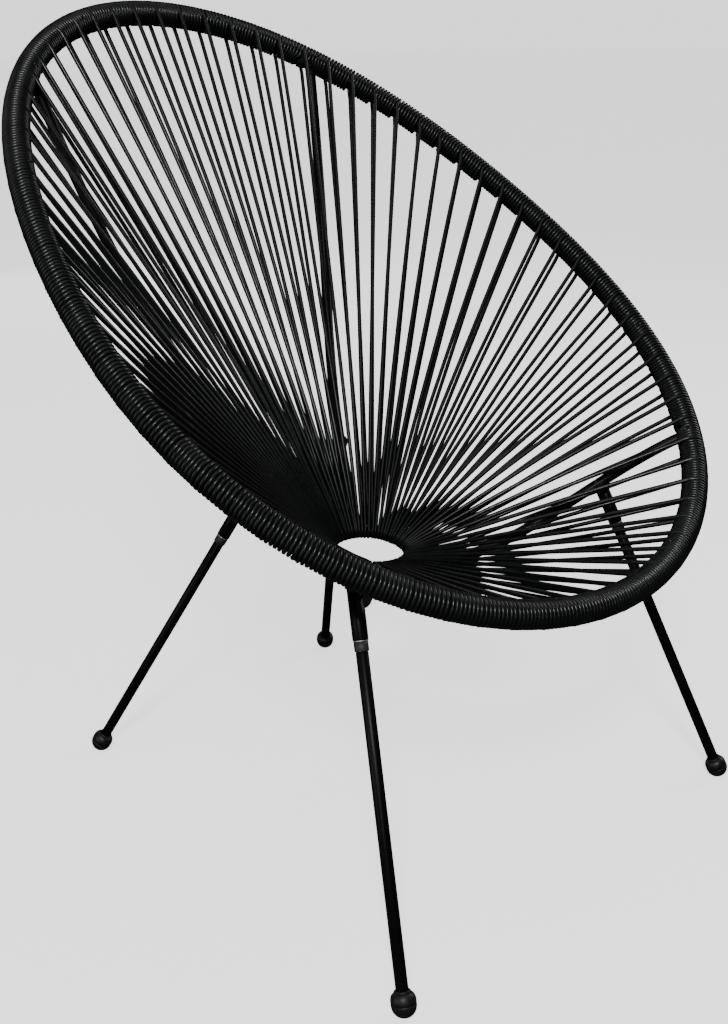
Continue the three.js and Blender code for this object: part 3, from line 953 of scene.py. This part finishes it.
def rubber_finish():
    """Moulded rubber, dusty underneath where it stands."""
    black, charcoal = (0.0035, 0.0035, 0.0037), (0.009, 0.009, 0.0092)
    dusty = (0.05, 0.048, 0.045)
    finish = Finish("foot_rubber")
    cloud = finish.noise(RUBBER_CLOUD, 4.0)
    grain = finish.noise(RUBBER_GRAIN, 2.0)
    scuff = finish.step(finish.noise(RUBBER_SCUFF, 4.0, 0.7), 0.50, 0.68)
    height = finish.node(
        "ShaderNodeSeparateXYZ", {}, {0: finish.node("ShaderNodeTexCoord", output="Object")},
        output=2,
    )
    worn = scuff * (1 - finish.step(height, WORN_HEIGHT, FOOT_RADIUS))
    tone = finish.mix(cloud, black, charcoal)
    finish.shade(
        base_color=finish.mix(worn * 0.7, tone, dusty),
        roughness=0.36 + 0.2 * cloud + 0.2 * worn,
        normal=finish.bump(grain, RUBBER_DEPTH, 0.4),
        specular_ior_level=0.3,
    )
    return finish.made


def zinc_finish():
    """Zinc plate on the washers, and on the studs and nuts that the tubes hide."""
    dull, bright = (0.62, 0.625, 0.63), (0.80, 0.805, 0.81)
    finish = Finish("zinc_plate")
    cloud = finish.noise(ZINC_CLOUD, 3.0)
    finish.shade(
        base_color=finish.mix(cloud, dull, bright),
        metallic=1.0,
        roughness=0.42 + 0.2 * cloud,
    )
    return finish.made


def paint(painted, material):
    painted.data.materials.clear()
    painted.data.materials.append(material)


# Studio


def make_camera():
    data = bpy.data.cameras.new("camera")
    data.sensor_width = SENSOR
    data.lens = FOCAL_PIXELS * SENSOR / IMAGE_HEIGHT
    data.shift_x = (IMAGE_WIDTH / 2 - AXIS_COLUMN) / IMAGE_HEIGHT
    data.shift_y = (AXIS_ROW - IMAGE_HEIGHT / 2) / IMAGE_HEIGHT
    back = Vector(
        (
            math.sin(CAMERA_AZIMUTH) * math.cos(CAMERA_ELEVATION),
            -math.cos(CAMERA_AZIMUTH) * math.cos(CAMERA_ELEVATION),
            math.sin(CAMERA_ELEVATION),
        )
    )
    right = UP.cross(back).normalized()
    up = back.cross(right)
    turn = Matrix((right, up, back)).transposed().to_4x4()
    camera = bpy.data.objects.new("camera", data)
    camera.matrix_world = (
        Matrix.Translation(CAMERA_PLACE) @ turn @ Matrix.Rotation(CAMERA_ROLL, 4, "Z")
    )
    bpy.context.scene.collection.objects.link(camera)
    bpy.context.scene.camera = camera


def make_floor():
    """A pale floor that glows a little, so that it stays even far away from the lights."""
    far = FLOOR_REACH
    corners = [(-far, -far, 0), (far, -far, 0), (far, far, 0), (-far, far, 0)]
    mesh = bpy.data.meshes.new("floor")
    mesh.from_pydata(corners, [], [(0, 1, 2, 3)])
    floor = bpy.data.objects.new("floor", mesh)
    bpy.context.scene.collection.objects.link(floor)
    black, dim = (0, 0, 0), (0.05, 0.05, 0.05)
    grey, pale = (0.60, 0.60, 0.595), (0.63, 0.63, 0.625)
    finish = Finish("pale_floor")
    cloud = finish.noise(FLOOR_CLOUD, 2.0)
    seen = finish.node("ShaderNodeLightPath")
    finish.shade(
        base_color=finish.mix(seen, dim, finish.mix(cloud, grey, pale)),
        roughness=0.9,
        specular_ior_level=0.1,
        emission_color=finish.mix(seen, black, FLOOR_GLOW),
        emission_strength=1.0,
    )
    floor.data.materials.append(finish.made)


def add_light(name, place, side, power):
    """A square lamp that faces the chair."""
    data = bpy.data.lights.new(name, "AREA")
    data.shape = "RECTANGLE"
    data.size = data.size_y = side
    data.energy = power
    light = bpy.data.objects.new(name, data)
    light.location = place
    light.rotation_euler = (Vector(place) - Vector(LIGHT_AIM)).to_track_quat("Z", "Y").to_euler()
    bpy.context.scene.collection.objects.link(light)


def make_studio():
    """Dim air, bright only where the camera looks past the floor, and soft lights overhead."""
    world = bpy.data.worlds.new("studio")
    air = Graph(world)
    seen = air.node("ShaderNodeLightPath")
    strength = air.node(
        "ShaderNodeMapRange", {}, {"Value": seen, "To Min": AIR_GLOW, "To Max": BACKGROUND_GLOW}
    )
    background = air.tree.nodes["Background"]
    air.set(background.inputs["Strength"], strength)
    air.set(background.inputs["Color"], BACKGROUND_TONE)
    bpy.context.scene.world = world
    for name, light in LIGHTS.items():
        add_light(name, light["place"], light["side"], light["power"])


make_camera()
make_floor()
make_studio()

pieces = make_cord() + make_hoops() + make_ribs() + make_brace() + make_legs()
by_slot = {
    "cord": cord_finish(),
    "frame": powder_coat_finish(),
    "collar": collar_finish(),
    "rubber": rubber_finish(),
    "zinc": zinc_finish(),
}
slots = {part["node"]: part["material_slot"] for part in frame["record"]["subparts"]}
for piece in pieces:
    paint(piece, by_slot[piece["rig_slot"]])
for node, solid in frame["nodes"].items():
    paint(solid, by_slot[slots[node]])
